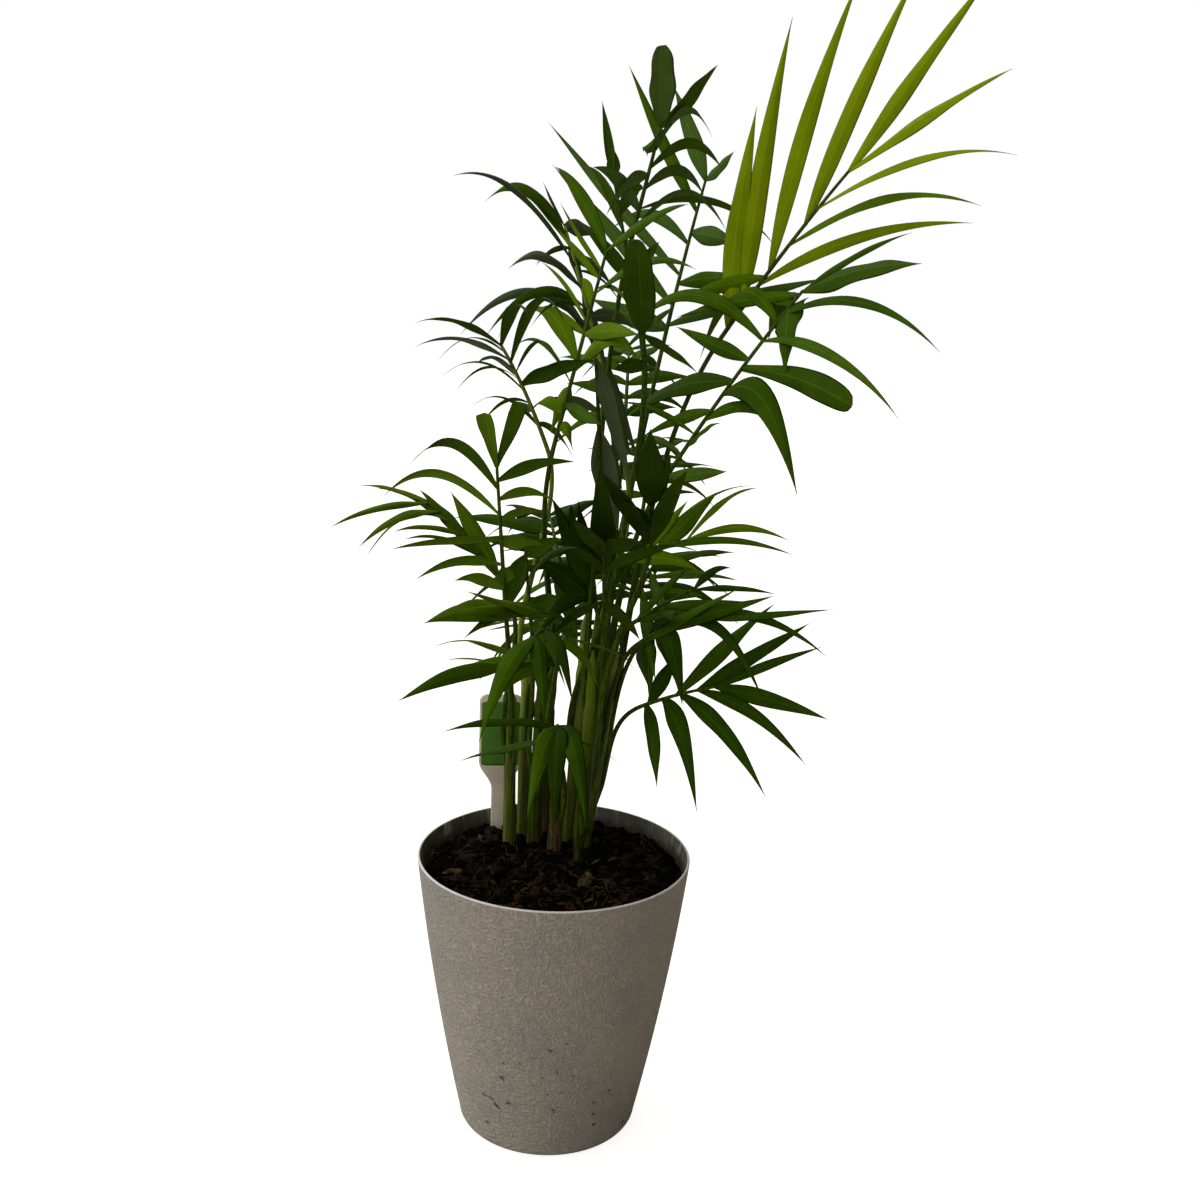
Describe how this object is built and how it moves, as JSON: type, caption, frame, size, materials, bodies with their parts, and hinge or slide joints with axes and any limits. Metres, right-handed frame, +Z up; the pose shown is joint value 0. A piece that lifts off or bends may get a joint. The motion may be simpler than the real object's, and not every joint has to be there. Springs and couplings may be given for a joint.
{
  "type": "parlour palm in a plastic pot",
  "caption": "Small parlour palm: a clump of slender green canes with arching feathery fronds, in a tapered stone-grey plastic pot of soil with a blank plant label.",
  "frame": {"origin": "centre of the pot's flat underside", "axes": "+Z up, the pot's axis; +X to the viewer's right and -Y towards the viewer in the main view"},
  "size_m": [0.2929, 0.3714, 0.5759],
  "materials": {
    "pot": "matte plastic with a fine wrinkled stone-like grain and small dark scuffs",
    "soil": "dark damp potting soil of bark chips and fibres",
    "label": "plain off-white plastic, blank",
    "stem": "ribbed green sheaths, satin",
    "leaf": "thin mid to dark green leaf, satin, greyer below",
    "leaf_light": "thin yellow-green leaf lit from behind, satin"
  },
  "bodies": {
    "root": {"pot": "pot", "soil": "soil", "plant_label": "label", "cane_1": "stem", "cane_2": "stem", "cane_3": "stem", "cane_4": "stem", "cane_5": "stem", "cane_6": "stem", "cane_7": "stem", "cane_8": "stem", "cane_9": "stem", "cane_10": "stem", "cane_11": "stem", "frond_high_right": "leaf_light", "frond_dark_right": "leaf", "frond_top_front": "leaf", "frond_top_back": "leaf", "frond_spear": "leaf", "frond_centre_high": "leaf", "frond_left_arch": "leaf", "frond_upper_left": "leaf", "frond_upper_front": "leaf", "frond_left_fishtail": "leaf", "frond_left_far": "leaf", "frond_left_middle": "leaf", "frond_left_low": "leaf", "frond_front_left": "leaf", "frond_front_low": "leaf", "frond_right_fan": "leaf", "frond_right_middle": "leaf", "frond_right_upper": "leaf", "frond_right_inner": "leaf", "frond_centre_front": "leaf", "frond_centre_near": "leaf", "frond_centre_hanging": "leaf", "frond_centre_broad": "leaf", "frond_right_low": "leaf", "frond_left_inner": "leaf", "frond_inner_left": "leaf", "frond_inner_right": "leaf", "frond_back_middle": "leaf", "frond_back_right": "leaf", "frond_back_low": "leaf", "frond_back_high": "leaf"}
  },
  "joints": []
}
